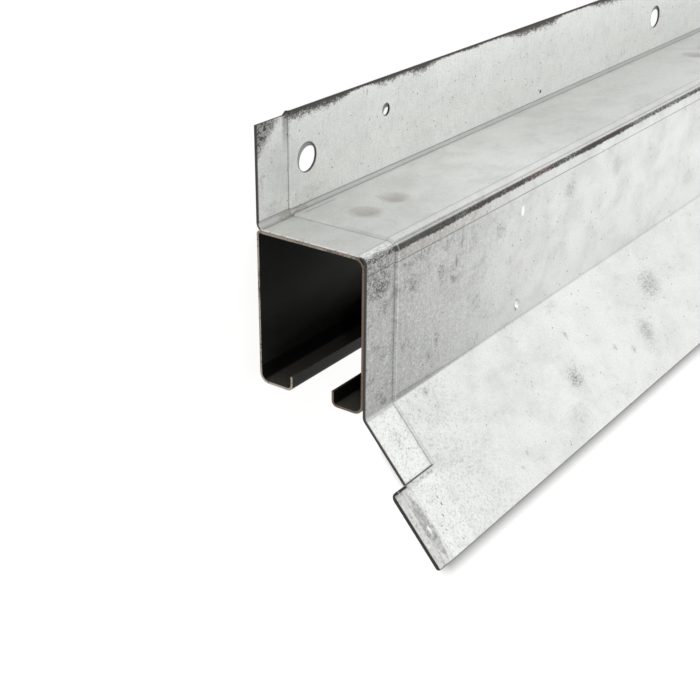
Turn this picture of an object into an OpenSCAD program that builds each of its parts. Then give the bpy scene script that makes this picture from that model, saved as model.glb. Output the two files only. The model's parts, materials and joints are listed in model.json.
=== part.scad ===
// Sliding door box rail with its own flashing, in galvanised sheet steel.
// Lengths are in millimetres and angles in degrees.
// The rail lies on its back. X runs along it, +Y is its upper side on the wall, +Z points away from the wall.

/* [Rail] */
// Length of the rail as it is sold
rail_len = 1828.8; // [600:0.1:3660]

/* [Box channel] */
// Outer width of the box, from the wall to its front
box_w = 47.6; // [40:0.1:60]
// Outer height of the box
box_h = 61; // [50:0.1:75]
// Sheet thickness of the channel
box_t = 0.9; // [0.7:0.05:1.6]
// Outer radius of the channel's three rounder corners
box_r = 4; // [3:0.1:6]
// Inner radius of the channel's tighter corner, at the top of its back
back_top_r = 0.5; // [0.2:0.1:3]
// Width of the running lip at the wall
back_lip_w = 15.5; // [12:0.1:18]
// Width of the running lip at the front
front_lip_w = 14; // [11:0.1:17]
// Height of the lips' turned-in edges
lip_h = 6.1; // [5:0.1:10]
// Outer radius of the bend that turns the lips in
lip_r = 2.4; // [1.8:0.1:3]

/* [Flashing] */
// Sheet thickness of the flashing
flash_t = 0.8; // [0.5:0.05:1.2]
// Height of the wall flange above the top sheet
flange_h = 38.4; // [30:0.1:60]
// Bend radius on the face side of the fold between flange and top
back_fold_r = 1.2; // [0.6:0.1:4]
// How much sharper the flashing's front corner is inside than the channel's corner
corner_ease = 1.2; // [0.5:0.1:2]
// Distance of the apron's fold below the channel's underside
fold_drop = 0.9; // [0:0.1:6]
// Bend radius on the face side of the apron's fold
apron_fold_r = 1.6; // [1:0.1:4]
// Slope of the apron below level, with the rail on its wall
apron_slope = 48.7806; // [35:0.0001:70]
// Width of the apron along its slope, from its fold to its edge
apron_w = 59.3; // [45:0.1:80]

/* [Swaged end] */
// Width of the end band that is pressed in to slip under the next rail
band_w = 18.6; // [12:0.1:30]
// Length of the step from the band up to the main sheet
step_len = 0.9; // [0.6:0.1:4]
// Play between lapped sheets
lap_play = 0.05; // [0:0.01:0.3]
// How far the band's flange is trimmed below the main flange
band_trim = 1.2; // [0.2:0.1:3]
// Length of the band's trimmed edge
trim_len = 15.6; // [8:0.1:25]
// Length of the slope from the trimmed edge up to the full one
trim_slope = 1.6; // [0.4:0.1:4]
// Distance of the apron's relief slit from the apron's fold
slit_at = 27.4; // [15:0.1:40]
// Width of the relief slit
slit_w = 0.1; // [0.1:0.1:2]
// How far the apron's tongue reaches past the end of the box
tongue_out = 8.5; // [4:0.1:15]
// Where the crease that sets the tongue in ends, measured from the end of the box
crease_end = 0.6; // [-2:0.1:4]
// Length of that crease along the rail
crease_len = 4.2; // [1:0.1:6]
// Radius of the tongue's upper corner
tongue_r = 2.4; // [1:0.1:4]
// Radius of the tongue's lower corner
tongue_foot_r = 1.5; // [0.5:0.1:3]

/* [Fixings] */
// Distance of the first lag screw hole from the swaged end
lag_from_end = 28; // [25:0.1:60]
// Diameter of the lag screw holes
lag_d = 11.1; // [8:0.1:14]
// Height of the lag screw holes above the top sheet
lag_up = 18.9; // [12:0.1:26]
// Distance of each nail hole past its lag screw hole
nail_past_lag = 51.2; // [30:0.1:90]
// Diameter of the nail holes
nail_d = 4.8; // [3:0.1:7]
// Height of the nail holes above the top sheet
nail_up = 25.3; // [12:0.1:30]
// Pitch of the holes and of the welds along the rail
pitch = 304.8; // [150:0.1:610]

/* [Spot welds] */
// Distance of the first weld on the top past each lag screw hole
weld_past_lag = 7.4; // [5:0.1:15]
// Distance between the two welds of a pair on the top
weld_gap = 19.3; // [14:0.1:25]
// Distance of the top welds from the wall
weld_from_wall = 23; // [15:0.1:30]
// Diameter of a top weld where it meets the channel
weld_d = 4.5; // [3:0.1:6]
// Width of the slope around a top weld
weld_slope = 2.4; // [1:0.1:4]
// Distance of each front weld past its lag screw hole
front_weld_past_lag = 80.9; // [40:0.1:120]
// Height of the front welds above the channel's underside
front_weld_up = 6.2; // [5:0.1:10]
// Diameter of a front weld where it meets the channel
front_weld_d = 2; // [1:0.1:4]
// Width of the slope around a front weld
front_weld_slope = 1.2; // [0.8:0.1:3]

/* [Hidden] */
$fn = 48;
// Overlap of the cutting tools past the faces that they cut
past = 1;
// Angle that a bend is made too long before it is trimmed
overbend = 5;
// Outer radius of the channel's tighter corner
back_top_outer_r = back_top_r + box_t;
// The band is pressed in by one sheet and the play, so that the next rail's flashing lies over it
band_in = flash_t + lap_play;
// Outer faces of the flashing, measured from the channel's underside and from the wall
top_face = box_h + flash_t + band_in;
front_face = box_w + flash_t + band_in;
flange_face = flash_t + band_in;
flange_top = top_face + flange_h;
// Outer radius of the flashing's front corner
front_corner_r = box_r - corner_ease + flash_t + band_in;
// Turn of the sheet at the apron's fold, and the length that the bend takes from each side
apron_turn = 90 - apron_slope;
fold_setback = apron_fold_r * tan(apron_turn / 2);
// Lowest edge of the section, used to centre the part
apron_edge = -fold_drop - apron_w * sin(apron_slope) - (band_in + flash_t) * cos(apron_slope);
// Stations of the holes and welds along the rail
last_station = floor((rail_len - lag_from_end - nail_past_lag - nail_d) / pitch);
last_front_weld = floor((rail_len - lag_from_end - front_weld_past_lag - weld_d) / pitch);

// A strip's long section is a list of points, each a depth under the outer face and a distance along the rail.
plain_strip = [[0, 0], [0, rail_len], [box_t, rail_len], [box_t, 0]];

// A flashing strip that starts at one place along the rail and is set in up to the end of a step
function stepped_strip(start, step_from, step_to) = [
    [band_in, start],
    [band_in, step_from],
    [0, step_to],
    [0, rail_len],
    [flash_t, rail_len],
    [flash_t, step_to],
    [band_in + flash_t, step_from],
    [band_in + flash_t, start],
];
band_strip = stepped_strip(0, band_w - step_len, band_w);
tongue_strip = stepped_strip(-tongue_out, crease_end - crease_len, crease_end);

// Flat stretch of sheet. It runs along +X with its outer face on Y = 0, and Z is the rail's length.
module flat(length, strip) {
    rotate([90, 0, 90])
    linear_extrude(length)
    polygon(strip);
}

// Bend to the left, with the strip's outer face outside (side = 1) or inside (side = -1).
// It is bent a little too far and then trimmed square where the next flat starts.
module arc(radius, turn, strip, side) {
    reach = radius + band_in + flash_t;
    difference() {
        translate([0, radius, 0])
        rotate([0, 0, -90])
        rotate_extrude(angle = turn + overbend)
        polygon([for (p = strip) [radius - side * p[0], p[1]]]);
        after_arc(radius, turn)
        translate([0, -reach, -tongue_out - past])
        cube([reach, 2 * reach, rail_len + tongue_out + 2 * past]);
    }
}

// Moves to where the sheet leaves a bend to the left
module after_arc(radius, turn) {
    translate([0, radius, 0])
    rotate([0, 0, turn])
    translate([0, -radius, 0])
    children();
}

// Bend to the left where the turn is above zero, and to the right where it is below
module bend(radius, turn, strip) {
    if (turn > 0) arc(radius, turn, strip, 1);
    else mirror([0, 1, 0]) arc(radius, -turn, strip, -1);
}

// Roll-formed sheet. Each step is a flat length, the turn after it and that bend's radius.
// A turn above zero goes left and below zero right, and the children carry on from the last bend.
module formed_sheet(steps, strip, i = 0) {
    length = steps[i][0];
    turn = steps[i][1];
    radius = steps[i][2];
    flat(length, strip);
    translate([length, 0, 0]) {
        bend(radius, turn, strip);
        after_arc(turn < 0 ? -radius : radius, turn) {
            if (i + 1 < len(steps)) formed_sheet(steps, strip, i + 1) children();
            else children();
        }
    }
}

// Section axes: X is height above the channel's underside, Y is distance from the wall, Z is the rail's length.
module lay_down() {
    translate([(tongue_out - rail_len) / 2, -(flange_top + apron_edge) / 2, 0])
    rotate([90, 0, 90])
    children();
}

// What is cut from a square corner at the origin to round it, through a sheet that lies in XZ
module corner_waste(radius) {
    rotate([-90, 0, 0])
    translate([0, 0, -past])
    linear_extrude(band_in + flash_t + 2 * past)
    difference() {
        translate([-past, -radius])
        square([radius + past, radius + past]);
        translate([radius, -radius])
        circle(radius);
    }
}

// Box that the door's trolleys run in, with turned-in lips on both sides of its slot
module box_channel() {
    steps = [
        [lip_h - lip_r, 90, lip_r],
        [back_lip_w - lip_r - box_r, 90, box_r],
        [box_h - box_r - back_top_outer_r, 90, back_top_outer_r],
        [box_w - back_top_outer_r - box_r, 90, box_r],
        [box_h - 2 * box_r, 90, box_r],
        [front_lip_w - box_r - lip_r, 90, lip_r],
    ];
    color("silver")
    lay_down()
    translate([lip_h, back_lip_w, 0])
    rotate([0, 0, 180])
    formed_sheet(steps, plain_strip)
    flat(lip_h - lip_r, plain_strip);
}

// Pressed weld on a flashing face. The origin is on the outer face and +Z points out of it.
module weld_press(d, slope) {
    translate([0, 0, -band_in])
    cylinder(d1 = d, d2 = d + 2 * slope, h = band_in);
    cylinder(d = d + 2 * slope, h = past);
}

// Metal that the press pushes down onto the channel under a weld. It starts inside the sheet.
module weld_seat(d, slope) {
    reach = band_in + flash_t / 2;
    translate([0, 0, -flash_t - band_in])
    cylinder(d1 = d + 2 * flash_t, d2 = d + 2 * flash_t + 2 * slope * reach / band_in, h = reach);
}

// Places of the welds on the top sheet, looking out of the top
module at_top_welds() {
    for (i = [0 : last_station], k = [0, 1])
        translate([top_face, weld_from_wall, lag_from_end + weld_past_lag + i * pitch + k * weld_gap])
        rotate([0, 90, 0])
        children();
}

// Places of the welds on the front sheet, looking out of the front
module at_front_welds() {
    for (i = [0 : last_front_weld])
        translate([front_weld_up, front_face, lag_from_end + front_weld_past_lag + i * pitch])
        rotate([-90, 0, 0])
        children();
}

// Row of holes through the wall flange
module flange_holes(d, up, from_end) {
    for (i = [0 : last_station])
        translate([top_face + up, -past, from_end + i * pitch])
        rotate([-90, 0, 0])
        cylinder(d = d, h = flange_face + 2 * past);
}

// What is trimmed from the flange's edge at the swaged end, with a slope up to the full edge
module edge_trim() {
    low = flange_top - band_trim;
    high = flange_top + past;
    slope_end = trim_len + trim_slope * (high - low) / band_trim;
    translate([0, flange_face + past, 0])
    rotate([90, 0, 0])
    linear_extrude(flange_face + 2 * past)
    polygon([[low, -past], [low, trim_len], [high, slope_end], [high, -past]]);
}

// Apron from its fold, with the set-in band above the relief slit and the tongue below it
module apron() {
    difference() {
        union() {
            flat(slit_at - fold_setback, band_strip);
            translate([slit_at - fold_setback, 0, 0])
            flat(apron_w - slit_at, tongue_strip);
        }
        translate([slit_at - fold_setback, -past, 0]) {
            translate([-slit_w / 2, 0, -tongue_out - past])
            cube([slit_w, band_in + flash_t + 2 * past, tongue_out + past + band_w]);
            translate([0, 0, band_w])
            rotate([-90, 0, 0])
            cylinder(d = slit_w, h = band_in + flash_t + 2 * past);
        }
        translate([slit_at - fold_setback + slit_w / 2, 0, -tongue_out])
        corner_waste(tongue_r);
        translate([apron_w - fold_setback, 0, -tongue_out])
        mirror([1, 0, 0])
        corner_waste(tongue_foot_r);
    }
}

// One sheet: the flange on the wall, the top and front round the box, and the apron that sheds the rain
module flashing() {
    steps = [
        [flange_h - back_fold_r, -90, back_fold_r],
        [front_face - front_corner_r - flange_face - back_fold_r, 90, front_corner_r],
        [top_face - front_corner_r + fold_drop - fold_setback, -apron_turn, apron_fold_r],
    ];
    color("gainsboro")
    lay_down()
    difference() {
        union() {
            translate([flange_top, flange_face, 0])
            rotate([0, 0, 180])
            formed_sheet(steps, band_strip)
            apron();
            at_top_welds() weld_seat(weld_d, weld_slope);
            at_front_welds() weld_seat(front_weld_d, front_weld_slope);
        }
        at_top_welds() weld_press(weld_d, weld_slope);
        at_front_welds() weld_press(front_weld_d, front_weld_slope);
        flange_holes(lag_d, lag_up, lag_from_end);
        flange_holes(nail_d, nail_up, lag_from_end + nail_past_lag);
        edge_trim();
    }
}

box_channel();
flashing();
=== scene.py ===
"""Finishes and studio stage for a galvanised sliding door box rail that lies on its back."""

import json
import math

import bpy
from bpy.props import FloatProperty, FloatVectorProperty, PointerProperty
from mathutils import Matrix, Vector


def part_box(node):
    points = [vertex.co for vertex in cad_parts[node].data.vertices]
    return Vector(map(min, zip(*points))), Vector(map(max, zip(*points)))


bl_info = {
    "name": "Box rail finishes",
    "version": (1, 0, 0),
    "blender": (4, 5, 0),
    "location": "View3D > Sidebar > Box rail",
    "description": "Galvanised finishes and a studio stage for a sliding door box rail",
    "category": "Material",
}

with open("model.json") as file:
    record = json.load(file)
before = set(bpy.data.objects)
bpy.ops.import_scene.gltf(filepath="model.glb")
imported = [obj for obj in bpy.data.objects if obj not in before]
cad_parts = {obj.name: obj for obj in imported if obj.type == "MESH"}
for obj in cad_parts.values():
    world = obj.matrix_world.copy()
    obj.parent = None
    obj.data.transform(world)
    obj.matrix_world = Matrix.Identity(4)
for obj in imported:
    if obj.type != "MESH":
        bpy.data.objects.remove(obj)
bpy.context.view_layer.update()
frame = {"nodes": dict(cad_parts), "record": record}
CHANNEL_LOW, CHANNEL_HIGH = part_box("box_channel")
FLASHING_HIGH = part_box("flashing")[1]
LAG_ROW = next(mount for mount in frame["record"]["mounts"] if mount["name"] == "lag_holes_near")

# Patterns are placed in rail millimetres: along the rail from its swaged end,
# up from the channel's underside, and out from the wall.
MM = 1000.0
ALONG, OUT = 0, 2
RAIL_ORIGIN = (-CHANNEL_LOW.x * MM, -CHANNEL_LOW.y * MM, 0.0)
BOX_W = CHANNEL_HIGH.z * MM
BOX_H = (CHANNEL_HIGH.y - CHANNEL_LOW.y) * MM
FLANGE_TOP = (FLASHING_HIGH.y - CHANNEL_LOW.y) * MM
PITCH = LAG_ROW["dims"]["spacing_x_mm"]
LAG_AT = (LAG_ROW["pos_m"][0] - CHANNEL_LOW.x) * MM - PITCH / 2

# The same sizes as in the part's source.
BOX_T = 0.9
BOX_R = 4.0
FLASH_T = 0.8
LAP_PLAY = 0.05
BAND_IN = FLASH_T + LAP_PLAY
LIP_H = 6.1
BAND_W = 18.6
STEP_LEN = 0.9
TOP_FACE = BOX_H + FLASH_T + BAND_IN
FRONT_FACE = BOX_W + FLASH_T + BAND_IN
FLANGE_FACE = FLASH_T + BAND_IN
CORNER_EASE = 1.2
CORNER_R = BOX_R + BAND_IN + FLASH_T - CORNER_EASE
BACK_FOLD_R = 1.2
FOLD_DROP = 0.9
APRON_SLOPE = math.radians(48.7806)
SLIT_AT = 27.4
APRON_W = 59.3
TONGUE_OUT = 8.5
WELD_PAST_LAG = 7.4
WELD_GAP = 19.3
WELD_FROM_WALL = 23.0
FRONT_WELD_PAST_LAG = 80.9
FRONT_WELD_UP = 6.2

# Places of single marks, in rail millimetres.
FRONT_ROLL_LINE = 54.5
FLANGE_DOT_ALONG, FLANGE_DOT_UP = 208.0, 67.6
FLECK_ALONG, FLECK_UP = 109.0, 47.3
CREASE_BEFORE_END = 1.7
CREASE_MIDDLE = 44.0
CREASE_HALF_LENGTH = 15.0
CREASE_HALF_WIDTH = 2.3

# Depth of each sheet's bumps in metres.
CHANNEL_BUMP = 0.00012
FLASHING_BUMP = 0.00018

# Width of the picture in millimetres, and where the lamps face, in metres.
PICTURE_W = 36.0
AIM_ALONG = 0.35
AIM_UP = 0.03

# Soft boxes round the rail: direction, distance and side in metres.
SOFT_BOXES = {
    "key": ((0.02, 0.66, 0.75), 2.5, 1.6),
    "front": ((-0.72, 0.46, 0.52), 2.5, 0.1),
    "side": ((0.86, -0.42, 0.25), 2.3, 1.1),
    "fill": ((-0.45, -0.35, 0.82), 2.2, 1.8),
}
SUN_FROM = (-1.75, 1.42, 1.0)
BRIGHT_SIDE = (0.55, 0.55, 0.63)

# Sockets of a Mix node that mixes colours, which share their names with its other sockets.
MIX_FACTOR, MIX_FIRST, MIX_SECOND = 0, 6, 7
MIX_COLOUR = 2

# Holes of the flange: place past the lag hole, height above the top sheet, radius.
HOLES = (
    (0.0, 18.9, 5.55),
    (51.2, 25.3, 2.4),
)

# Smudges where the sheet was handled.
# Each has its place along and across, its reach along and across, and its strength.
# They are measured up the front from the channel's underside, down the apron from its fold,
# and up the flange from the top sheet.
FRONT_SMUDGES = (
    (9.0, 47.0, 7.0, 7.0, 0.90),
    (11.0, 39.0, 6.0, 6.0, 0.60),
    (29.0, 41.5, 6.0, 5.0, 0.62),
    (47.5, 41.0, 4.0, 6.5, 0.72),
    (58.5, 42.0, 1.3, 5.5, 0.95),
    (62.0, 47.5, 2.5, 3.0, 0.60),
    (46.0, 14.0, 3.0, 6.0, 0.60),
    (40.5, 9.0, 2.5, 5.0, 0.60),
    (24.0, 20.0, 4.5, 4.5, 0.45),
    (33.0, 52.0, 10.0, 4.0, 0.50),
    (91.0, 44.0, 9.0, 7.0, 0.50),
    (151.0, 45.0, 9.0, 9.0, 0.50),
    (196.0, 44.0, 7.0, 9.0, 0.34),
)
APRON_SMUDGES = (
    (214.0, 21.0, 16.0, 12.0, 0.62),
    (190.0, 38.0, 10.0, 12.0, 0.60),
    (123.0, 35.0, 9.0, 9.0, 0.78),
    (133.5, 17.5, 2.5, 3.2, 0.75),
    (173.0, 41.0, 3.5, 3.5, 0.60),
    (161.0, 35.0, 3.0, 3.0, 0.50),
    (135.0, 3.5, 9.0, 4.0, 0.35),
    (110.0, 49.0, 14.0, 9.0, 0.26),
    (68.0, 46.5, 2.0, 2.4, 0.60),
    (61.0, 50.0, 2.0, 2.0, 0.60),
    (36.0, 3.5, 3.5, 3.0, 0.55),
    (32.0, 32.0, 4.0, 3.0, 0.30),
    (9.0, 12.0, 6.5, 9.0, 0.34),
)
FLANGE_SMUDGES = (
    (8.0, 5.0, 9.0, 5.0, 0.34),
    (2.5, 15.0, 2.5, 12.0, 0.30),
    (33.0, 6.0, 10.0, 5.0, 0.22),
    (48.0, 14.0, 14.0, 6.0, 0.14),
)

# Short dark scores on the flange.
# Each has its place past the first lag hole, its height above the top sheet and half its length.
FLANGE_SCORES = (
    (40.0, 24.0, 1.1),
    (38.0, 35.0, 2.0),
)

# Glints on the tongue.
# Each has its place along and down the apron, its reach both ways,
# the share of that reach at full strength, and its strength.
TONGUE_GLINTS = (
    (-1.8, 45.5, 0.7, 2.4, 0.5, 1.0),
    (-4.6, 38.0, 0.5, 4.0, 0.4, 0.6),
    (-6.4, 50.0, 0.7, 1.2, 0.5, 0.7),
)


class Signal:
    """A socket of a finish, so that Python expressions on it add Math nodes."""

    def __init__(self, finish, socket):
        self.finish = finish
        self.socket = socket

    def __add__(self, other):
        return self.finish.maths("ADD", self, other)

    def __radd__(self, other):
        return self.finish.maths("ADD", other, self)

    def __sub__(self, other):
        return self.finish.maths("SUBTRACT", self, other)

    def __rsub__(self, other):
        return self.finish.maths("SUBTRACT", other, self)

    def __mul__(self, other):
        return self.finish.maths("MULTIPLY", self, other)

    def __rmul__(self, other):
        return self.finish.maths("MULTIPLY", other, self)

    def __truediv__(self, other):
        return self.finish.maths("DIVIDE", self, other)

    def __mod__(self, other):
        return self.finish.maths("FLOORED_MODULO", self, other)

    def __abs__(self):
        return self.finish.maths("ABSOLUTE", self)


class Finish:
    """A node tree that is being written, with the few kinds of pattern that this rail needs."""

    def __init__(self, tree):
        self.tree = tree
        self.tree.nodes.clear()

    def node(self, kind, settings=None, inputs=None, output=0):
        """Adds a node: its settings first, then the values or links of its sockets."""
        made = self.tree.nodes.new(kind)
        for name, value in (settings or {}).items():
            setattr(made, name, value)
        for key, value in (inputs or {}).items():
            socket = made.inputs[key]
            if isinstance(value, Signal):
                self.tree.links.new(value.socket, socket)
            else:
                socket.default_value = value
        return Signal(self, made.outputs[output]) if made.outputs else made

    def maths(self, operation, *values):
        return self.node("ShaderNodeMath", {"operation": operation}, dict(enumerate(values)))

    def larger(self, first, *others):
        for other in others:
            first = self.maths("MAXIMUM", first, other)
        return first

    def smaller(self, first, *others):
        for other in others:
            first = self.maths("MINIMUM", first, other)
        return first

    def rise(self, value, start, end):
        """Goes smoothly from 0 to 1 while the value goes from start to end."""
        settings = {"interpolation_type": "SMOOTHSTEP"}
        inputs = {"Value": value, "From Min": start, "From Max": end}
        return self.node("ShaderNodeMapRange", settings, inputs)

    def fall(self, value, start, end):
        return 1.0 - self.rise(value, start, end)

    def strip(self, value, low, high, soft):
        """Is 1 between low and high and fades out over soft on each side."""
        return self.rise(value, low - soft, low) * self.fall(value, high, high + soft)

    def line(self, value, centre, width):
        """Is 1 on the centre and 0 from half a width away."""
        return self.fall(abs(value - centre), 0.0, width / 2)

    def blend(self, factor, first, second):
        """Mixes two colours."""
        inputs = {MIX_FACTOR: factor, MIX_FIRST: first, MIX_SECOND: second}
        return self.node("ShaderNodeMix", {"data_type": "RGBA"}, inputs, output=MIX_COLOUR)

    def rail_place(self):
        """The point in rail millimetres, as a vector and as its three numbers."""
        place = self.node("ShaderNodeTexCoord", output="Object")
        rail = self.scaled(place, (MM, MM, MM), RAIL_ORIGIN)
        return rail, self.parts(rail)

    def facing(self):
        """The three parts of the surface's own direction."""
        return self.parts(self.node("ShaderNodeTexCoord", output="Normal"))

    def parts(self, vector):
        return [self.node("ShaderNodeSeparateXYZ", None, {0: vector}, output=axis) for axis in range(3)]

    def scaled(self, vector, scale, shift):
        inputs = {0: vector, 1: scale, 2: shift}
        return self.node("ShaderNodeVectorMath", {"operation": "MULTIPLY_ADD"}, inputs)

    def stretched(self, rail, grain, shift=(0.0, 0.0, 0.0)):
        """The rail's vector counted in grains of the given lengths in millimetres."""
        return self.scaled(rail, tuple(1.0 / length for length in grain), shift)

    def clouds(self, rail, grain, detail=3.0, roughness=0.55, shift=(0.0, 0.0, 0.0), warp=0.0):
        """Noise between 0 and 1 with grains of the given lengths."""
        vector = self.stretched(rail, grain, shift)
        inputs = {"Vector": vector, "Scale": 1.0, "Distortion": warp}
        inputs.update({"Detail": detail, "Roughness": roughness})
        return self.node("ShaderNodeTexNoise", None, inputs)

    def specks(self, sheet, spacing, size, share, shift):
        """Small specks on a share of evenly scattered places, drawn out like their spacing."""
        settings = {"voronoi_dimensions": "2D"}
        inputs = {"Vector": self.stretched(sheet, (*spacing, 1.0), shift), "Scale": 1.0}
        distance = self.node("ShaderNodeTexVoronoi", settings, inputs, output="Distance")
        cell = self.node("ShaderNodeTexVoronoi", settings, inputs, output="Color")
        chance = self.node("ShaderNodeSeparateColor", None, {0: cell})
        reach = self.rise(chance, 1.0 - share, 1.0) * (size / spacing[0])
        return self.fall(distance / self.larger(reach, 0.0001), 0.6, 1.0)

    def paint(self, mask, colour):
        """Lays a colour over what has been painted so far."""
        self.colour = self.blend(mask, self.colour, colour)

    def surface(self, roughness, metallic, height, depth):
        """Ends the tree in a painted metal surface with a bump of the given depth in metres."""
        normal = self.node("ShaderNodeBump", None, {"Strength": 1.0, "Distance": depth, "Height": height})
        inputs = {"Base Color": self.colour, "Roughness": roughness, "Metallic": metallic, "Normal": normal}
        shader = self.node("ShaderNodeBsdfPrincipled", None, inputs)
        self.node("ShaderNodeOutputMaterial", None, {"Surface": shader})


def new_material(name):
    material = bpy.data.materials.new(name)
    material.use_nodes = True
    return material


def dress(node, material):
    """Gives a CAD node its finish."""
    mesh = frame["nodes"][node].data
    if not mesh.materials:
        mesh.materials.append(material)
    for index in range(len(mesh.materials)):
        mesh.materials[index] = material


def colour_prop(name, description, default):
    return FloatVectorProperty(
        name=name, description=description, subtype="COLOR", size=3, min=0, max=1, default=default
    )


def amount_prop(name, description, default, high=1.0):
    limits = {"min": 0, "max": high, "default": default}
    return FloatProperty(name=name, description=description, subtype="FACTOR", **limits)


def power_prop(name, description, default):
    return FloatProperty(name=name, description=description, unit="POWER", min=0, default=default)


def angle_prop(name, description, degrees):
    return FloatProperty(name=name, description=description, subtype="ANGLE", default=math.radians(degrees))


def rgba(colour, share=1.0):
    return (*(share * part for part in colour), 1.0)


class FlashingLooks(bpy.types.PropertyGroup):
    """Colours and wear of the flashing's galvanised sheet."""

    # Clean zinc, also lightened for painted light and highlights.
    zinc: colour_prop("Zinc", "Clean zinc", (0.79, 0.80, 0.785))
    # Dull zinc for cloudy patches and smudges, also used for painted shade.
    dull_zinc_and_shade: colour_prop("Dull zinc", "Dulled, cloudy zinc", (0.47, 0.475, 0.46))
    # Grime, also used for painted shade in the step, the slit and along the folds.
    grime_and_shade: colour_prop("Grime", "Grime rubbed into folds and edges", (0.040, 0.038, 0.033))
    rust: colour_prop("Rust", "Rust in the grime and on cut edges", (0.12, 0.06, 0.04))
    grease: colour_prop("Grease", "Old grease in the back fold", (0.20, 0.185, 0.12))
    cut_edge: colour_prop("Cut edge", "Sheared edge of the sheet", (0.030, 0.026, 0.022))
    bright_edge: colour_prop("Bright edge", "Sheared edge that is still bright", (0.68, 0.65, 0.62))
    weld_stain: colour_prop("Weld stain", "Stain around the spot welds", (0.36, 0.34, 0.31))
    # Bare fleck, also used for painted glints on the tongue.
    fleck: colour_prop("Bare fleck", "Bare fleck on the front", (0.93, 0.93, 0.91))
    cloudiness: amount_prop("Cloudiness", "How strongly the zinc is mottled", 0.75)
    # Scales the grime together with the painted reflection and shade that go with it.
    grime_and_shade_amount: amount_prop("Grime amount", "How much grime sits in folds and edges", 1.0)
    roughness: amount_prop("Roughness", "Roughness of clean zinc", 0.42)


class ChannelLooks(bpy.types.PropertyGroup):
    """Colours of the channel's sheet."""

    zinc: colour_prop("Outside", "Zinc on the outside of the box", (0.52, 0.525, 0.515))
    # Inside: painted shade that darkens the inside of the box.
    inside: colour_prop("Inside", "Dull dark inside of the box", (0.018, 0.0185, 0.0165))
    lips: colour_prop("Lips", "Dusty upper side of the lips", (0.075, 0.068, 0.057))
    # Deep inside: painted light that keeps the inside from growing darker away from the open end.
    deep_inside_light: colour_prop("Deep inside", "Cleaner inside further from the open end", (0.10, 0.10, 0.095))
    cut_edge: colour_prop("Cut edge", "Sheared edge of the sheet", (0.36, 0.32, 0.265))
    rusty_edge: colour_prop("Rusty edge", "Sheared edge that has rusted", (0.10, 0.065, 0.04))
    roughness: amount_prop("Roughness", "Roughness of the outside", 0.48)


class StageLooks(bpy.types.PropertyGroup):
    """Camera, floor and light."""

    camera_place: FloatVectorProperty(
        name="Camera place",
        description="Camera from the open end's lower back corner: along, away from the wall and up it",
        subtype="TRANSLATION",
        unit="LENGTH",
        size=3,
        default=(-0.3507, -0.2935, 0.2340),
    )
    camera_yaw: angle_prop("Yaw", "Turn of the view from along the rail towards the wall", 35.67)
    camera_pitch: angle_prop("Pitch", "Tilt of the view above level", -25.83)
    camera_roll: angle_prop("Roll", "Turn of the camera about its view", 0.38)
    lens: FloatProperty(
        name="Lens", description="Focal length for a 36 mm wide picture, in mm", default=69.37
    )
    floor_size: FloatProperty(
        name="Floor size", description="Side of the floor", unit="LENGTH", default=40.0
    )
    floor_colour: colour_prop("Floor", "Colour of the floor", (0.32, 0.32, 0.318))
    floor_white: amount_prop("Floor white", "How far the floor goes to white where it is seen", 0.08)
    sky_low: colour_prop("Dim side", "Studio surroundings on the dim side", (0.52, 0.525, 0.53))
    sky_high: colour_prop("Bright side", "Studio surroundings on the bright side", (0.90, 0.90, 0.89))
    sun_strength: FloatProperty(
        name="Floor sun",
        description="Strength of the sun that draws the shadow on the floor",
        min=0,
        default=19.4,
    )
    sun_spread: angle_prop("Sun spread", "Angle that the sun fills, which softens the shadow", 2.2)
    key_power: power_prop("Key", "Power of the key light", 19.0)
    front_power: power_prop("Front", "Power of the small light beside the camera", 6.0)
    fill_power: power_prop("Fill", "Power of the fill light", 5.0)
    side_power: power_prop("Side", "Power of the side light", 7.0)


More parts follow.
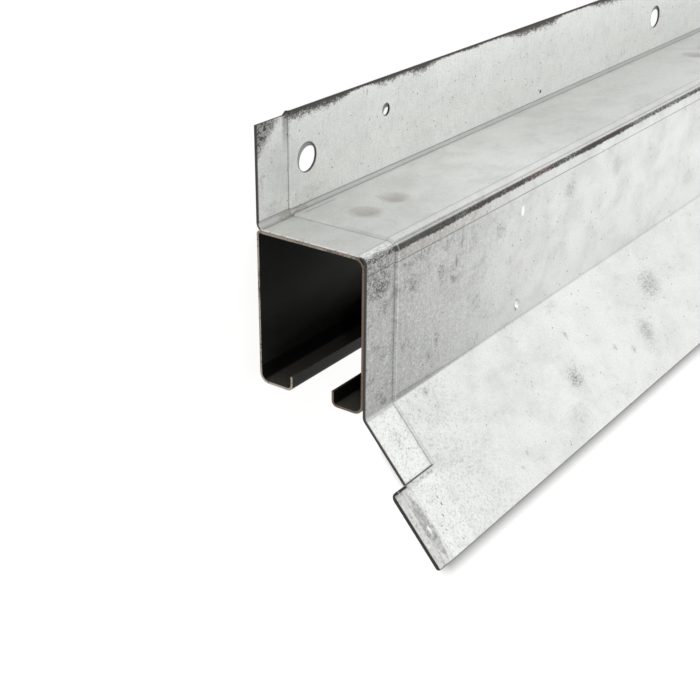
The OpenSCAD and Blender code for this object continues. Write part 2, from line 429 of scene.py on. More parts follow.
class ChannelSheet(Finish):
    """The box channel's finish: dull zinc outside, dark inside and bare where it was sheared."""

    def __init__(self, tree, looks):
        super().__init__(tree)
        self.looks = looks
        self.rail, (self.along, self.up, self.out) = self.rail_place()
        self.cloud = self.clouds(self.rail, (26, 14, 14), 4.0, 0.6, (3.1, 7.7, 1.9))
        self.grain = self.clouds(self.rail, (2.6, 0.7, 0.7), 3.0, 0.6, (5.3, 2.2, 8.4))

    def zinc(self):
        looks = self.looks
        mottled = self.rise(self.cloud, 0.3, 0.75) * 0.5
        self.colour = self.blend(mottled, rgba(looks.zinc), rgba(looks.zinc, 0.55))
        self.paint(self.rise(self.grain, 0.55, 0.85) * 0.25, rgba(looks.zinc, 0.22))

    def shade_inside(self):
        """Paints shade inside, darkest near the open end, lighter near the underside and further in; dusty
        lips.
        """
        half = BOX_T / 2
        self.inside = self.smaller(
            self.strip(self.up, half, BOX_H - half, 0.02),
            self.strip(self.out, half, BOX_W - half, 0.02),
        )
        looks = self.looks
        deep = self.rise(self.along, 5.0, 110.0)
        low = self.fall(self.up, 8.0, 24.0)
        # Painted shade, made lighter near the channel's underside as painted light.
        dark = self.blend(low, rgba(looks.inside, 0.75), rgba(looks.inside, 2.6))
        # Painted light further from the open end.
        dark = self.blend(deep, dark, rgba(looks.deep_inside_light))
        on_lips = self.fall(self.up, LIP_H + 0.5, LIP_H + 1.0) * self.fall(self.along, 90.0, 160.0)
        to_slot = self.rise(self.facing()[OUT], 0.3, 0.7)
        # The lips' sides towards the slot take the painted shade; their upper side is dusty.
        dark = self.blend(on_lips, dark, self.blend(to_slot, rgba(looks.lips), rgba(looks.inside)))
        self.dusty = self.inside * on_lips * (1.0 - to_slot)
        self.paint(self.inside, dark)

    def sheared_ends(self):
        looks = self.looks
        self.ends = self.rise(abs(self.facing()[ALONG]), 0.85, 0.95)
        front_side = self.rise(self.out, BOX_W - 5.0, BOX_W - 2.5)
        top_side = self.rise(self.up, BOX_H - 2.5, BOX_H - 1.0)
        front_lip = self.fall(self.up, 7.0, 9.0) * self.rise(self.out, 25.0, 30.0)
        rusty = self.larger(front_side * 0.8, top_side * 0.25, front_lip * 0.85)
        rusty = self.larger(rusty, self.rise(self.grain * 0.5 + self.cloud * 0.5, 0.46, 0.60))
        self.paint(self.ends, self.blend(rusty, rgba(looks.cut_edge), rgba(looks.rusty_edge)))

    def finish_surface(self):
        roughness = self.looks.roughness + self.cloud * 0.16 + self.ends * 0.15
        metallic = 0.88 - self.ends * 0.5 - self.dusty * 0.45
        height = self.grain * 0.6 + self.cloud * 0.4
        self.surface(roughness, metallic, height, CHANNEL_BUMP)


class RAIL_OT_finish_channel(bpy.types.Operator):
    """Give the box channel its dull zinc outside, dark inside and sheared ends"""

    bl_idname = "box_rail.finish_channel"
    bl_label = "Finish box channel"

    def execute(self, context):
        material = new_material("channel_zinc")
        sheet = ChannelSheet(material.node_tree, context.scene.channel_looks)
        sheet.zinc()
        sheet.shade_inside()
        sheet.sheared_ends()
        sheet.finish_surface()
        dress("box_channel", material)
        return {"FINISHED"}


class FlashingSheet(Finish):
    """The flashing's finish, with the places, faces and noise fields that its wear and painted light come
    from.
    """

    def __init__(self, tree, looks):
        super().__init__(tree)
        self.looks = looks
        self.along, self.up, self.out = self.rail_place()[1]
        self.find_faces()
        self.lay_out_sheet()
        self.make_noise()
        self.station = (self.along - LAG_AT + PITCH / 2) % PITCH - PITCH / 2

    def find_faces(self):
        """Masks for the flange, top, front and apron, and places on the apron and the front corner."""
        sine, cosine = math.sin(APRON_SLOPE), math.cos(APRON_SLOPE)
        self.down = cosine * (self.out - FRONT_FACE) - sine * (self.up + FOLD_DROP)
        self.on_apron = self.rise(self.down, -0.2, 0.7)
        self.below_slit = self.rise(self.down, SLIT_AT - 0.1, SLIT_AT + 0.1)
        self.on_flange = self.rise(self.up, TOP_FACE + 0.4, TOP_FACE + BACK_FOLD_R + 0.2)
        self.on_front = self.rise(self.out, FRONT_FACE - 2.2, FRONT_FACE - 1.7) * (1.0 - self.on_apron)
        self.on_top = self.rise(self.up, TOP_FACE - 1.6, TOP_FACE - 1.2) * (1.0 - self.on_flange)
        above, beyond = TOP_FACE - CORNER_R, FRONT_FACE - CORNER_R
        self.from_corner = self.maths("ARCTAN2", self.up - above, self.out - beyond)
        self.on_corner = self.rise(self.up, above - 0.6, above) * self.rise(self.out, beyond - 0.4, beyond)
        self.near_end = self.fall(self.along, 5.0, 140.0) * (1.0 - self.on_apron)

    def lay_out_sheet(self):
        """Unfolds the sheet along the rail and round its girth, so that patterns run on over its folds."""
        slack = math.sin(APRON_SLOPE) + math.cos(APRON_SLOPE) - 1.0
        self.girth = FLANGE_TOP - self.up + self.out - slack * self.larger(self.down, 0.0)
        self.sheet = self.node("ShaderNodeCombineXYZ", None, {0: self.along, 1: self.girth, 2: 0.0})

    def make_noise(self):
        """Noise fields from broad clouds to fine grain."""
        self.broad = self.clouds(self.sheet, (46, 30, 1), 2.0, 0.5, (1.7, 4.2, 0.6))
        self.cloud = self.clouds(self.sheet, (16, 12, 1), 4.0, 0.6, (9.1, 2.4, 6.3), 0.3)
        self.blotch = self.clouds(self.sheet, (5.5, 4.5, 1), 5.0, 0.68, (2.9, 8.8, 3.3), 0.3)
        self.streak = self.clouds(self.sheet, (0.9, 8.0, 1), 3.0, 0.6, (0.4, 5.1, 7.2))
        self.rolled = self.clouds(self.sheet, (70, 0.7, 1), 2.0, 0.5, (6.6, 1.2, 4.9))
        self.grain = self.clouds(self.sheet, (0.55, 0.55, 1), 2.0, 0.6, (8.2, 3.9, 0.7))
        self.pepper = self.clouds(self.sheet, (1.1, 1.1, 1), 3.0, 0.7, (5.2, 0.8, 3.6))
        self.ragged = self.clouds(self.sheet, (2.4, 1.5, 1), 5.0, 0.75, (4.4, 9.3, 2.1))
        self.speckle = self.ragged * 0.6 + self.grain * 0.4

    def distance(self, across, centre_along, centre_across, reach_along=1.0, reach_across=1.0):
        """How far a point is from a place, counted in the given reaches."""
        side = (self.along - centre_along) / reach_along
        drop = (across - centre_across) / reach_across
        return self.length(side, drop)

    def length(self, side, drop):
        return self.maths("SQRT", side * side + drop * drop)

    def smudges_at(self, places, across):
        """Soft smudges, peppered with dark dots, round the listed places."""
        spots = []
        for along, centre, reach_along, reach_across, strength in places:
            away = self.distance(across, along, centre, reach_along, reach_across)
            spots.append(self.rise(1.0 - away + (self.speckle - 0.5) * 2.2, 0.2, 1.0) * strength)
        return self.larger(*spots) * (0.36 + self.rise(self.pepper, 0.47, 0.60) * 0.64)

    def zinc(self):
        """Cloudy zinc with grain and streaks, and painted shade and light per face, darker towards the open
        end.
        """
        looks = self.looks
        cloudy = self.rise(self.cloud + self.broad * 0.5, 0.56, 1.0)
        self.colour = self.blend(cloudy * looks.cloudiness * 0.45, rgba(looks.zinc), rgba(looks.dull_zinc_and_shade))
        # Painted shade: the front and top are darker, most near the open end, the top also further along,
        # the apron a little.
        face_shade = self.near_end * (0.12 + self.on_top * 0.36 + self.on_front * 0.49)
        face_shade = face_shade + self.on_front * 0.27 + self.on_top * self.rise(self.along, 80.0, 200.0) * 0.36
        face_shade = face_shade + self.on_apron * self.fall(self.along, 40.0, 130.0) * 0.08
        self.paint(face_shade, rgba(looks.dull_zinc_and_shade))
        # Painted light: lighter zinc on the flange past its band, on the flange and apron further along,
        # and on the apron's band.
        light = self.on_flange * self.rise(self.along, 15.0, 25.0) * 0.36
        light = light + self.on_flange * self.rise(self.along, 60.0, 150.0) * 0.20
        light = light + self.on_apron * self.rise(self.along, 60.0, 150.0) * 0.35
        light = light + self.on_apron * self.fall(self.along, 15.0, 18.0) * 0.40
        self.paint(light, rgba(looks.zinc, 1.12))
        smear = self.rise(self.blotch, 0.48, 0.72) * self.rise(self.cloud + self.broad * 0.5, 0.62, 0.88)
        amount = 0.10 + self.on_front * (self.near_end * 0.90 - 0.04)
        self.paint(smear * amount, rgba(looks.dull_zinc_and_shade, 0.35))
        fine = self.rise(self.grain, 0.42, 0.74)
        amount = 0.18 + self.on_front * (self.near_end * 0.48 - 0.04) + self.on_flange * 0.06
        self.paint(fine * amount, rgba(looks.dull_zinc_and_shade, 0.45))
        dark_dots = self.rise(self.pepper, 0.50, 0.64)
        amount = self.on_front * self.near_end * 0.20
        amount = amount + self.on_apron * self.fall(self.along, 30.0, 75.0) * 0.24
        self.paint(dark_dots * amount, rgba(looks.dull_zinc_and_shade, 0.3))
        pale_dots = self.fall(self.pepper, 0.34, 0.45) * self.on_front * self.near_end
        self.paint(pale_dots * 0.40, rgba(looks.zinc))
        streaks = self.rise(self.streak, 0.46, 0.74)
        amount = self.on_front * self.near_end * 0.34 + self.on_flange * 0.12
        self.paint(streaks * amount, rgba(looks.dull_zinc_and_shade, 0.55))

    def smudges(self):
        """Darker smudges on the front, the apron and the flange, where the sheet was handled."""
        front = self.smudges_at(FRONT_SMUDGES, self.up) * self.on_front
        self.paint(front, rgba(self.looks.dull_zinc_and_shade, 0.18))
        apron = self.smudges_at(APRON_SMUDGES, self.down) * self.on_apron
        self.paint(apron, rgba(self.looks.dull_zinc_and_shade, 0.28))
        flange = self.smudges_at(FLANGE_SMUDGES, self.up - TOP_FACE) * self.on_flange
        self.paint(flange, rgba(self.looks.dull_zinc_and_shade, 0.45))

    def weld_stains(self):
        """Heat stains with a dark crescent on the top welds, and a dark side and bare middle in front."""
        drop = self.out - WELD_FROM_WALL
        spots = []
        for past in (WELD_PAST_LAG, WELD_PAST_LAG + WELD_GAP):
            side = self.station - past
            away = self.length(side, drop)
            spot = self.fall(away + (self.blotch - 0.5) * 6.0, 2.5, 8.0)
            crescent = self.line(away, 5.4, 0.8) * self.rise(-1.0 * (side + drop), 4.5, 7.0)
            spots += [spot * 0.72, crescent * self.rise(self.ragged, 0.4, 0.6) * 0.9]
        self.stain = self.larger(*spots) * self.strip(self.up, TOP_FACE - 3.0, TOP_FACE + 0.2, 0.2)
        self.paint(self.stain, rgba(self.looks.weld_stain))
        side = self.station - FRONT_WELD_PAST_LAG
        drop = self.up - FRONT_WELD_UP
        away = self.maths("SQRT", side * side + drop * drop * 0.4)
        dark = self.line(away, 1.5, 1.4) * self.fall(side, -0.9, 0.3) * self.on_front
        self.paint(dark * 0.8, rgba(self.looks.grime_and_shade, 2.0))
        bare = self.fall(abs(side - 0.5) + abs(drop) * 0.35, 0.7, 1.1) * self.on_front
        self.paint(bare * 0.8, rgba(self.looks.fleck))

    def corner_grime_and_reflection(self):
        """A stripe of painted dark reflection and grime on the front corner, ragged below, spread on the
        swaged band.
        """
        near_step = self.fall(self.along, 50.0, 95.0)
        lower = self.from_corner + (self.ragged - 0.5) * 0.55 + (self.broad - 0.5) * 0.35
        lower = lower + near_step * 0.10
        # Painted dark reflection on the fold, with grime in it.
        stripe = self.rise(lower, math.radians(4), math.radians(15))
        upper = self.from_corner + (self.grain - 0.5) * 0.12
        stripe = stripe * self.fall(upper, math.radians(30), math.radians(40))
        patchy = 0.40 + self.rise(self.speckle + self.broad * 0.5, 0.56, 0.80) * 0.60
        stripe = stripe * self.larger(patchy, near_step * 0.92) * self.on_corner
        on_band = self.fall(self.along, BAND_W - 2.0, BAND_W - 1.0)
        stripe = stripe * (1.0 - on_band * self.fall(self.speckle, 0.44, 0.56) * 0.75)
        spread = self.strip(self.up + (self.speckle - 0.5) * 18.0, 47.0, 61.0, 3.0)
        dots = self.rise(self.pepper * 0.5 + self.grain * 0.5, 0.46, 0.58)
        spread = spread * (0.25 + dots * 0.75) * self.fall(self.along, 13.0, 17.0)
        spread = spread * self.rise(self.out, FRONT_FACE - CORNER_R, FRONT_FACE - CORNER_R + 2.0)
        return self.larger(stripe, spread * 0.60 * (1.0 - self.on_flange))

    def flange_grime_and_shade(self):
        """Ragged grime along the flange's edge and on its swaged corner, and painted shade beside the step.
        """
        thick = self.larger(self.rise(self.broad, 0.34, 0.60), self.fall(self.along, 40.0, 62.0))
        reach = 1.2 + 3.6 * thick * self.rise(self.along, 12.0, 18.0)
        rim = 1.0 - (FLANGE_TOP - self.up) / reach
        rim = self.rise(rim + (self.speckle - 0.5) * 2.4, 0.05, 0.70) * 0.97
        corner = (self.up - self.along - 84.5) / 6.0 + (self.speckle - 0.5) * 3.0
        corner = self.rise(corner, 0.0, 1.0) * self.fall(self.along, 11.0, 16.0)
        corner = corner * (0.58 + self.rise(self.pepper, 0.44, 0.56) * 0.40)
        # Painted shade beside the step near the flange's top.
        smear = self.strip(self.along + (self.ragged - 0.5) * 3.0, 15.5, 17.4, 1.4)
        smear = smear * self.rise(self.up, 84.0, 99.0)
        return self.larger(rim, corner, smear * 0.55) * self.on_flange

    def grime_and_shade(self):
        """Grime, painted reflection and shade on corner and flange; rust below a roll line; a painted band
        highlight.
        """
        looks = self.looks
        self.dirt_and_shade = self.larger(self.corner_grime_and_reflection(), self.flange_grime_and_shade()) * looks.grime_and_shade_amount
        rusty = self.rise(self.broad, 0.50, 0.60) * self.rise(self.ragged, 0.35, 0.6) * 0.18
        rusty = self.larger(rusty, self.strip(self.along, 117.0, 129.0, 7.0) * 0.55)
        below = self.strip(self.up, FRONT_ROLL_LINE + 0.3, 58.6, 0.8) * self.on_front
        below = below * self.strip(self.along, 22.0, 66.0, 14.0)
        self.paint(below * self.rise(self.speckle, 0.42, 0.60) * 0.24, rgba(looks.rust, 3.0))
        # Painted highlight on the band's rounded corner.
        bright = self.strip(self.from_corner, math.radians(48), math.radians(76), math.radians(12))
        bright = bright * self.on_corner * self.fall(self.along + (self.ragged - 0.5) * 6.0, 12.0, 18.0)
        bright = bright * (0.22 + self.rise(self.ragged, 0.42, 0.58) * 0.45)
        self.paint(bright, rgba(looks.zinc, 1.2))
        self.paint(self.dirt_and_shade, self.blend(rusty, rgba(looks.grime_and_shade), rgba(looks.rust)))

    def roll_lines_and_fold_shade(self):
        """Fine dark lines: one that the forming rollers left on the front, and painted shade along the
        folds.
        """
        above_fold = FLANGE_FACE + BACK_FOLD_R
        short = self.strip(self.along, 23.0, 39.0, 4.0) * self.on_top
        # The front line is from the forming rollers; the others are painted shade along the folds.
        lines = self.larger(
            self.line(self.out, FRONT_FACE - CORNER_R - 0.2, 0.6) * self.on_top * 0.55,
            self.line(self.up, FRONT_ROLL_LINE, 0.7) * self.on_front * 0.65,
            self.line(self.from_corner, math.radians(48), 0.09) * self.on_corner * 0.55,
            self.line(self.up, TOP_FACE + BACK_FOLD_R + 0.2, 0.6) * self.on_flange * 0.70,
            self.line(self.out, above_fold + 0.1, 0.7) * self.on_top * 0.70,
            self.line(self.out, above_fold + 2.7, 0.6) * short * 0.7,
        )
        self.roll_and_fold_lines = lines * self.rise(self.rolled + self.ragged * 0.6, 0.40, 0.74)
        self.paint(self.roll_and_fold_lines, rgba(self.looks.grime_and_shade, 2.0))

    def fold_shadows(self):
        """Painted shade in the back fold, with grease at the swaged end, and painted shade along the
        apron's fold.
        """
        looks = self.looks
        in_fold = self.fall(self.up, TOP_FACE + BACK_FOLD_R, TOP_FACE + BACK_FOLD_R + 0.3)
        in_fold = in_fold * self.fall(self.out, FLANGE_FACE + BACK_FOLD_R, FLANGE_FACE + BACK_FOLD_R + 0.3)
        in_fold = in_fold * self.rise(self.up, TOP_FACE - 1.5, TOP_FACE - 1.2)
        self.paint(in_fold * 0.48, rgba(looks.dull_zinc_and_shade, 0.55))
        greasy = self.strip(self.along + (self.blotch - 0.5) * 10.0, 14.0, 24.0, 5.0)
        self.paint(in_fold * greasy * self.rise(self.ragged, 0.38, 0.56) * 0.48, rgba(looks.grease))
        outside = self.rise(self.out, FRONT_FACE - 2.4, FRONT_FACE - 2.0)
        past_band = self.rise(self.along, BAND_W - 1.0, BAND_W - 0.5)
        above = self.up - 1.1 + self.rise(self.along, 20.0, 62.0) * 1.3
        fold = self.fall(above, -0.3, 0.1) * self.fall(self.down, 0.2, 0.7) * past_band
        fold = self.larger(fold, self.fall(self.down, 0.7, 1.5) * self.on_apron * (1.0 - past_band))
        fading = self.fall(self.along, 25.0, 90.0)
        self.paint(fold * outside * (0.12 + fading * 0.30), rgba(looks.dull_zinc_and_shade, 0.5))
        crisp = self.line(above, 0.0, 0.7) * past_band
        crisp = crisp * self.rise(self.rolled + self.ragged * 0.6, 0.45, 0.7)
        self.paint(crisp * outside * (0.15 + fading * 0.40), rgba(looks.dull_zinc_and_shade, 0.25))

    def swage_step(self):
        """Painted shade at the foot and a painted highlight on the crest of the step between band and main
        sheet.
        """
        above_slit = 1.0 - self.below_slit
        foot = self.line(self.along, BAND_W - STEP_LEN, 0.7) * above_slit * self.rise(self.ragged, 0.2, 0.5)
        self.paint(foot * (0.60 - self.on_top * 0.25 - self.on_front * 0.15), rgba(self.looks.grime_and_shade, 1.6))
        crest = self.line(self.along, BAND_W + 0.3, 0.9) * above_slit
        self.paint(crest * (0.10 + self.on_front * 0.20), rgba(self.looks.zinc, 1.15))
        # Painted shade on the step's slope on the apron, which takes away a highlight.
        slope = self.strip(self.along, BAND_W - STEP_LEN, BAND_W + 0.2, 0.2) * above_slit * self.on_apron
        self.paint(slope * 0.38, rgba(self.looks.dull_zinc_and_shade, 0.7))
        # Painted shade beside the step on the top.
        soft = self.line(self.along, BAND_W - 0.4, 2.6) * self.on_top * self.rise(self.out, 14.0, 34.0)
        self.paint(soft * 0.35, rgba(self.looks.dull_zinc_and_shade, 0.5))

    def tongue(self):
        """Painted shade on the tongue's slope, wavy crease and slit; a darker tip; painted glints; a darker
        strip below.
        """
        looks = self.looks
        tip = self.fall(self.along, -4.0, -2.2) * self.below_slit
        self.paint(tip * 0.44, rgba(looks.dull_zinc_and_shade, 0.85))
        # Painted shade on the bent slope of the tongue.
        slope = self.strip(self.along, -3.8, 0.7, 0.3) * self.below_slit
        self.paint(slope * 0.45, rgba(looks.dull_zinc_and_shade, 0.7))
        # Painted shade in the wavy crease, made uneven.
        bow = (self.down - CREASE_MIDDLE) / CREASE_HALF_LENGTH
        half = CREASE_HALF_WIDTH - CREASE_HALF_WIDTH * bow * bow
        crease = abs(self.along + CREASE_BEFORE_END + (self.blotch - 0.5) * 3.0) - half
        crease = self.fall(crease, -0.7, 0.35) * self.below_slit
        uneven = self.rise(self.ragged, 0.38, 0.62) * 0.36 + self.rise(self.pepper, 0.48, 0.62) * 0.16
        self.paint(crease * (0.32 + uneven), rgba(looks.dull_zinc_and_shade, 0.34))
        self.paint(tip * self.rise(self.pepper, 0.52, 0.64) * 0.35, rgba(looks.dull_zinc_and_shade, 0.3))
        # Painted highlights on the tongue.
        glints = []
        for along, down, reach_along, reach_down, full, strength in TONGUE_GLINTS:
            away = self.distance(self.down, along, down, reach_along, reach_down)
            glints.append(self.fall(away, full, 1.0) * strength)
        self.paint(self.larger(*glints) * 0.4, rgba(looks.fleck))
        # A darker strip below the slit.
        darker_below_slit = self.strip(self.down, SLIT_AT, SLIT_AT + 1.4, 1.8) * self.fall(self.along, 13.0, 20.0)
        darker_below_slit = darker_below_slit * self.below_slit * (0.22 + self.rise(self.pepper, 0.44, 0.6) * 0.35)
        self.paint(darker_below_slit, rgba(looks.dull_zinc_and_shade, 0.3))
        # Painted shade in the slit.
        slit = self.fall(abs(self.down - SLIT_AT), 0.12, 0.4)
        slit = slit * self.fall(self.along, BAND_W - 1.2, BAND_W - 0.6)
        self.paint(slit * 0.9, rgba(looks.grime_and_shade))

    def specks_and_flecks(self):
        """Black specks, dark hole rims, a dot and short scores on the flange, and a bare fleck in front."""
        looks = self.looks
        loose = self.specks(self.sheet, (6.5, 6.5), 0.44, 0.30, (0.3, 0.9, 0.5))
        loose = loose * (1.0 - self.on_top * 0.7) * 0.8
        clusters = self.specks(self.sheet, (1.8, 1.8), 0.36, 0.40, (7.3, 1.9, 2.5))
        clusters = clusters * self.rise(self.blotch, 0.52, 0.62)
        amount = 0.35 + self.on_flange * 0.50 + self.on_front * 0.30
        clusters = clusters * (amount + self.on_apron * self.fall(self.along, 14.0, 19.0) * 0.6)
        dashes = self.specks(self.sheet, (2.4, 6.0), 0.34, 0.45, (3.7, 6.1, 0.5))
        dashes = dashes * self.rise(self.cloud, 0.48, 0.62)
        amount = self.on_apron * (0.45 + self.fall(self.along, 14.0, 20.0) * 0.45)
        dashes = dashes * (amount + self.on_front * 0.50)
        dot = self.distance(self.up, FLANGE_DOT_ALONG, FLANGE_DOT_UP)
        dot = self.fall(dot, 0.6, 1.1) * self.on_flange
        for past, up, half in FLANGE_SCORES:
            away = self.distance(self.up, LAG_AT + past, TOP_FACE + up, 0.3, half)
            dot = self.larger(dot, self.fall(away, 0.4, 1.0) * self.on_flange * 0.7)
        rims = []
        for past, up, radius in HOLES:
            away = self.length(self.station - past, self.up - TOP_FACE - up)
            rims.append(self.fall(away, radius + 0.1, radius + 0.5) * self.on_flange)
        self.paint(self.larger(*rims) * 0.75, rgba(looks.grime_and_shade, 2.0))
        self.dots = self.larger(loose, clusters, dashes, dot)
        self.paint(self.dots, rgba(looks.grime_and_shade, 1.5))
        fleck = self.distance(self.up, FLECK_ALONG, FLECK_UP, 1.2, 2.4) + (self.grain - 0.5)
        self.paint(self.fall(fleck, 0.7, 1.05) * self.on_front, rgba(looks.fleck))

    def sheared_edges(self):
        """Dark sheared edges with a margin of grime and painted shade, still bright on the end of the top
        sheet.
        """
        looks = self.looks
        facing_along, facing_up, facing_out = self.facing()
        facing_apron = math.cos(APRON_SLOPE) * facing_up + math.sin(APRON_SLOPE) * facing_out
        self.edges = self.larger(
            self.rise(abs(facing_along), 0.85, 0.95),
            self.fall(abs(facing_out), 0.3, 0.5) * self.on_flange,
            self.fall(abs(facing_apron), 0.3, 0.5) * self.rise(self.down, 2.0, 2.4),
        )
        bright = self.strip(self.up, BOX_H - 1.0, TOP_FACE, 0.5)
        bright = bright * self.strip(self.out, 3.0, BOX_W - 3.0, 2.0)
        bright = bright * (0.45 + self.rise(self.ragged, 0.36, 0.5) * 0.55)
        bare = self.blend(self.rise(self.ragged, 0.42, 0.65), rgba(looks.cut_edge), rgba(looks.rust, 0.6))
        self.paint(self.edges, self.blend(bright, bare, rgba(looks.bright_edge)))
        # Grime and painted shade beside the edges, with a painted shadow line along the apron's free edge.
        margin = self.larger(
            self.fall(self.along + TONGUE_OUT, 0.6, 1.2) * self.below_slit,
            self.fall(self.down - SLIT_AT, 0.8, 1.4) * self.below_slit * self.fall(self.along, -1.0, 0.5),
            self.rise(self.down, APRON_W - 0.6, APRON_W - 0.1) * 0.75,
            self.fall(self.along, 0.35, 0.85) * (1.0 - self.below_slit) * (1.0 - self.on_top) * 0.9,
            self.fall(FLANGE_TOP - self.up, 0.2, 0.7) * self.on_flange * 0.6,
        )
        self.paint(margin * self.rise(self.ragged, 0.2, 0.42), rgba(looks.cut_edge))

    def finish_surface(self):
        roughness = self.looks.roughness + self.cloud * 0.14 + self.grain * 0.08 + self.dirt_and_shade * 0.25
        metallic = 0.86 - self.dirt_and_shade * 0.6 - self.stain * 0.2 - self.edges * 0.5 - self.dots * 0.4
        height = self.grain * 0.35 + self.blotch * 0.40 + self.rolled * 0.10 + self.streak * 0.12
        height = height - self.roll_and_fold_lines * 0.6 - self.dots * 0.4
        self.surface(roughness, metallic, height, FLASHING_BUMP)


class RAIL_OT_finish_flashing(bpy.types.Operator):
    """Give the flashing its mottled zinc, grime, painted shade in its folds, weld marks and sheared edges
    """

    bl_idname = "box_rail.finish_flashing"
    bl_label = "Finish flashing"

    def execute(self, context):
        material = new_material("flashing_zinc")
        sheet = FlashingSheet(material.node_tree, context.scene.flashing_looks)
        sheet.zinc()
        sheet.smudges()
        sheet.weld_stains()
        sheet.grime_and_shade()
        sheet.roll_lines_and_fold_shade()
        sheet.fold_shadows()
        sheet.swage_step()
        sheet.tongue()
        sheet.specks_and_flecks()
        sheet.sheared_edges()
        sheet.finish_surface()
        dress("flashing", material)
        return {"FINISHED"}


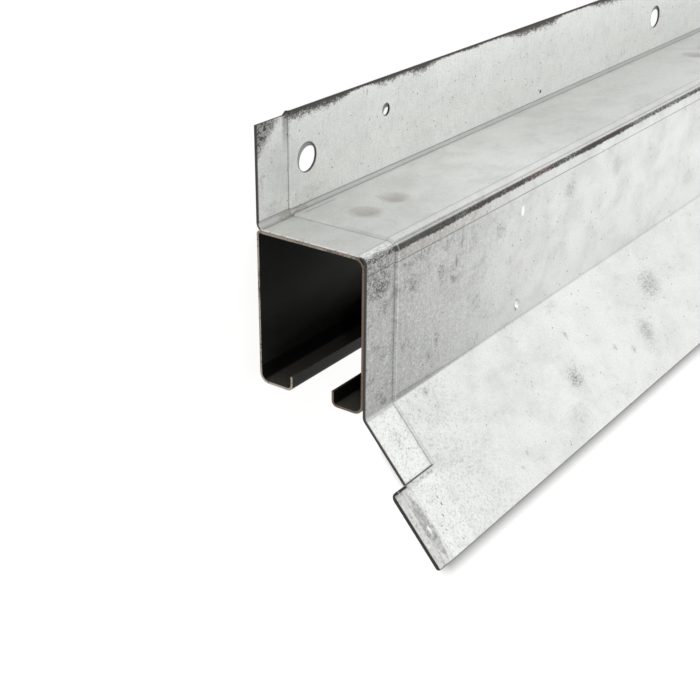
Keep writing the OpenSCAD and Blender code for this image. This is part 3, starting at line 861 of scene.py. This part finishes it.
class RAIL_OT_set_stage(bpy.types.Operator):
    """Set up the floor, the soft studio light and the camera"""

    bl_idname = "box_rail.set_stage"
    bl_label = "Set stage"

    def execute(self, context):
        looks = context.scene.stage_looks
        context.scene.view_settings.view_transform = "Standard"
        self.lay_floor(looks)
        self.set_surroundings(context.scene, looks)
        self.light_studio(looks)
        self.place_camera(context.scene, looks)
        return {"FINISHED"}

    def lay_floor(self, looks):
        bpy.ops.object.select_all(action="DESELECT")
        bpy.ops.mesh.primitive_plane_add(size=looks.floor_size, location=(0, 0, 0))
        floor = bpy.context.object
        floor.name = "floor"
        material = new_material("studio_floor")
        finish = Finish(material.node_tree)
        paper = {"Base Color": rgba(looks.floor_colour), "Roughness": 0.9}
        lit = finish.node("ShaderNodeBsdfPrincipled", None, paper)
        white = finish.node("ShaderNodeEmission", None, {"Color": (1, 1, 1, 1), "Strength": 1.0})
        rays = ("Is Camera Ray", "Is Glossy Ray", "Is Transmission Ray")
        seen = finish.larger(*(finish.node("ShaderNodeLightPath", output=ray) for ray in rays))
        mixed = finish.node("ShaderNodeMixShader", None, {0: seen * looks.floor_white, 1: lit, 2: white})
        finish.node("ShaderNodeOutputMaterial", None, {"Surface": mixed})
        floor.data.materials.append(material)

    def set_surroundings(self, scene, looks):
        """Plain studio surroundings that go from a dim side to a bright one."""
        world = bpy.data.worlds.new("studio")
        world.use_nodes = True
        scene.world = world
        finish = Finish(world.node_tree)
        direction = finish.node("ShaderNodeTexCoord", output="Generated")
        ends = {0: direction, 1: Vector(BRIGHT_SIDE).normalized()}
        towards = finish.node("ShaderNodeVectorMath", {"operation": "DOT_PRODUCT"}, ends, output="Value")
        sky = finish.blend(finish.rise(towards, -0.35, 0.85), rgba(looks.sky_low), rgba(looks.sky_high))
        shader = finish.node("ShaderNodeBackground", None, {"Color": sky, "Strength": 1.0})
        finish.node("ShaderNodeOutputWorld", None, {"Surface": shader})

    def light_studio(self, looks):
        """Soft boxes for the rail alone, and a sun for the floor alone."""
        aim = Vector((CHANNEL_LOW.x + AIM_ALONG, 0.0, AIM_UP))
        rail = self.light_group("lit_rail", frame["nodes"].values())
        floor = self.light_group("lit_floor", [bpy.data.objects["floor"]])
        flashing = self.light_group("shading_flashing", [frame["nodes"]["flashing"]])
        for name, (direction, distance, size) in SOFT_BOXES.items():
            power = getattr(looks, f"{name}_power")
            self.add_soft_box(f"{name}_light", aim, direction, distance, size, power, rail)
        self.add_floor_sun(looks, floor, flashing)

    def light_group(self, name, members):
        """A group of objects that a light can be linked to."""
        group = bpy.data.collections.new(name)
        for member in members:
            group.objects.link(member)
        return group

    def add_soft_box(self, name, target, direction, distance, size, power, lit):
        lamp = self.add_lamp(name, "AREA", direction, power, lit)
        lamp.data.shape = "SQUARE"
        lamp.data.size = size
        lamp.location = target + Vector(direction).normalized() * distance

    def add_floor_sun(self, looks, floor, flashing):
        """A sun that draws the flashing's shadow on the floor and leaves the rail alone."""
        lamp = self.add_lamp("floor_sun", "SUN", SUN_FROM, looks.sun_strength, floor)
        lamp.data.angle = looks.sun_spread
        lamp.light_linking.blocker_collection = flashing

    def add_lamp(self, name, kind, direction, strength, lit):
        lamp = bpy.data.objects.new(name, bpy.data.lights.new(name, kind))
        lamp.data.energy = strength
        lamp.rotation_euler = Vector(direction).to_track_quat("Z", "Y").to_euler()
        lamp.visible_camera = False
        lamp.light_linking.receiver_collection = lit
        bpy.context.scene.collection.objects.link(lamp)
        return lamp

    def place_camera(self, scene, looks):
        camera = bpy.data.objects.new("camera", bpy.data.cameras.new("camera"))
        scene.collection.objects.link(camera)
        camera.data.sensor_width = PICTURE_W
        camera.data.lens = looks.lens
        camera.data.clip_start = 0.01
        camera.data.clip_end = 50.0
        on_wall = Matrix.Translation(looks.camera_place)
        on_wall = on_wall @ Matrix.Rotation(looks.camera_yaw - math.pi / 2, 4, "Z")
        on_wall = on_wall @ Matrix.Rotation(math.pi / 2 + looks.camera_pitch, 4, "X")
        on_wall = on_wall @ Matrix.Rotation(looks.camera_roll, 4, "Z")
        laid_back = Matrix.Translation((CHANNEL_LOW.x, CHANNEL_LOW.y, 0.0))
        laid_back = laid_back @ Matrix.Rotation(-math.pi / 2, 4, "X")
        camera.matrix_world = laid_back @ on_wall
        scene.camera = camera


class RAIL_PT_sidebar(bpy.types.Panel):
    """Lists the rail's finishes and its stage"""

    bl_idname = "RAIL_PT_sidebar"
    bl_label = "Box rail"
    bl_space_type = "VIEW_3D"
    bl_region_type = "UI"
    bl_category = "Box rail"

    def draw(self, context):
        groups = (
            (RAIL_OT_finish_channel, context.scene.channel_looks),
            (RAIL_OT_finish_flashing, context.scene.flashing_looks),
            (RAIL_OT_set_stage, context.scene.stage_looks),
        )
        for operator, looks in groups:
            column = self.layout.box().column()
            for name in looks.bl_rna.properties.keys():
                if name not in {"rna_type", "name"}:
                    column.prop(looks, name)
            column.operator(operator.bl_idname)


CLASSES = (
    FlashingLooks,
    ChannelLooks,
    StageLooks,
    RAIL_OT_finish_channel,
    RAIL_OT_finish_flashing,
    RAIL_OT_set_stage,
    RAIL_PT_sidebar,
)


def register():
    for cls in CLASSES:
        bpy.utils.register_class(cls)
    bpy.types.Scene.flashing_looks = PointerProperty(type=FlashingLooks)
    bpy.types.Scene.channel_looks = PointerProperty(type=ChannelLooks)
    bpy.types.Scene.stage_looks = PointerProperty(type=StageLooks)


def unregister():
    del bpy.types.Scene.flashing_looks
    del bpy.types.Scene.channel_looks
    del bpy.types.Scene.stage_looks
    for cls in reversed(CLASSES):
        bpy.utils.unregister_class(cls)


def main():
    register()
    bpy.ops.box_rail.finish_channel()
    bpy.ops.box_rail.finish_flashing()
    bpy.ops.box_rail.set_stage()


if __name__ == "__main__":
    main()
